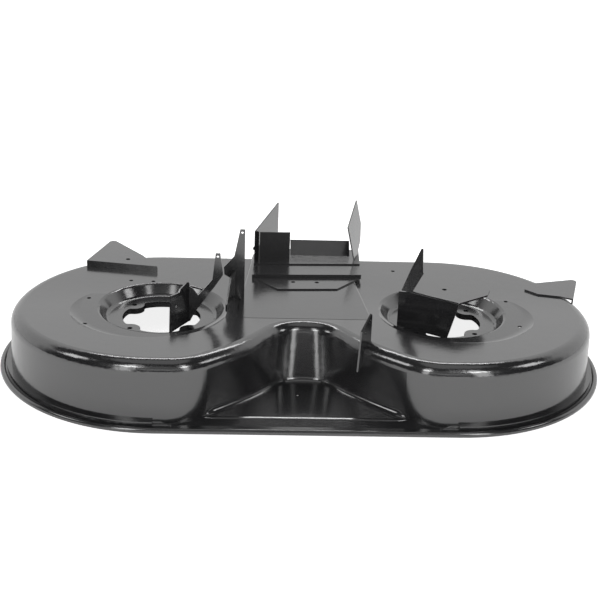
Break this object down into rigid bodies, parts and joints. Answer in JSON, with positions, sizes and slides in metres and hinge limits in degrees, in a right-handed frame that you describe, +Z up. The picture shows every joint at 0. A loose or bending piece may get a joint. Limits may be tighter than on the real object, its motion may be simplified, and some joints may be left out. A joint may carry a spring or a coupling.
{
  "type": "lawn mower deck",
  "caption": "Pressed steel mower deck in gloss black, with round blade housings either side of a V front, sunk spindle seats, welded hanger brackets and a rear discharge chute.",
  "frame": {"origin": "middle of the box around the whole deck, at the bottom of the rolled rim", "axes": "+X across the machine, +Y to the rear (discharge side), +Z up"},
  "size_m": [1.0694, 0.5948, 0.239],
  "materials": {
    "deck_paint": "gloss",
    "chute_paint": "gloss",
    "bracket_paint": "gloss"
  },
  "bodies": {
    "root": {"chute_base_plate": "chute_paint", "chute_floor_plate": "chute_paint", "chute_guard_tab": "chute_paint", "chute_left_wing": "chute_paint", "chute_right_wing": "chute_paint", "chute_rivet": "chute_paint", "chute_roof_panel": "chute_paint", "deck_shell": "deck_paint", "front_hanger_plate": "bracket_paint", "left_belt_bracket": "bracket_paint", "left_corner_bracket": "bracket_paint", "left_hanger_post": "bracket_paint", "left_lift_arm": "bracket_paint", "left_spindle_plate": "deck_paint", "right_belt_bracket": "bracket_paint", "right_corner_bracket": "bracket_paint", "right_hanger_ear": "bracket_paint", "right_spindle_plate": "deck_paint"}
  },
  "joints": []
}
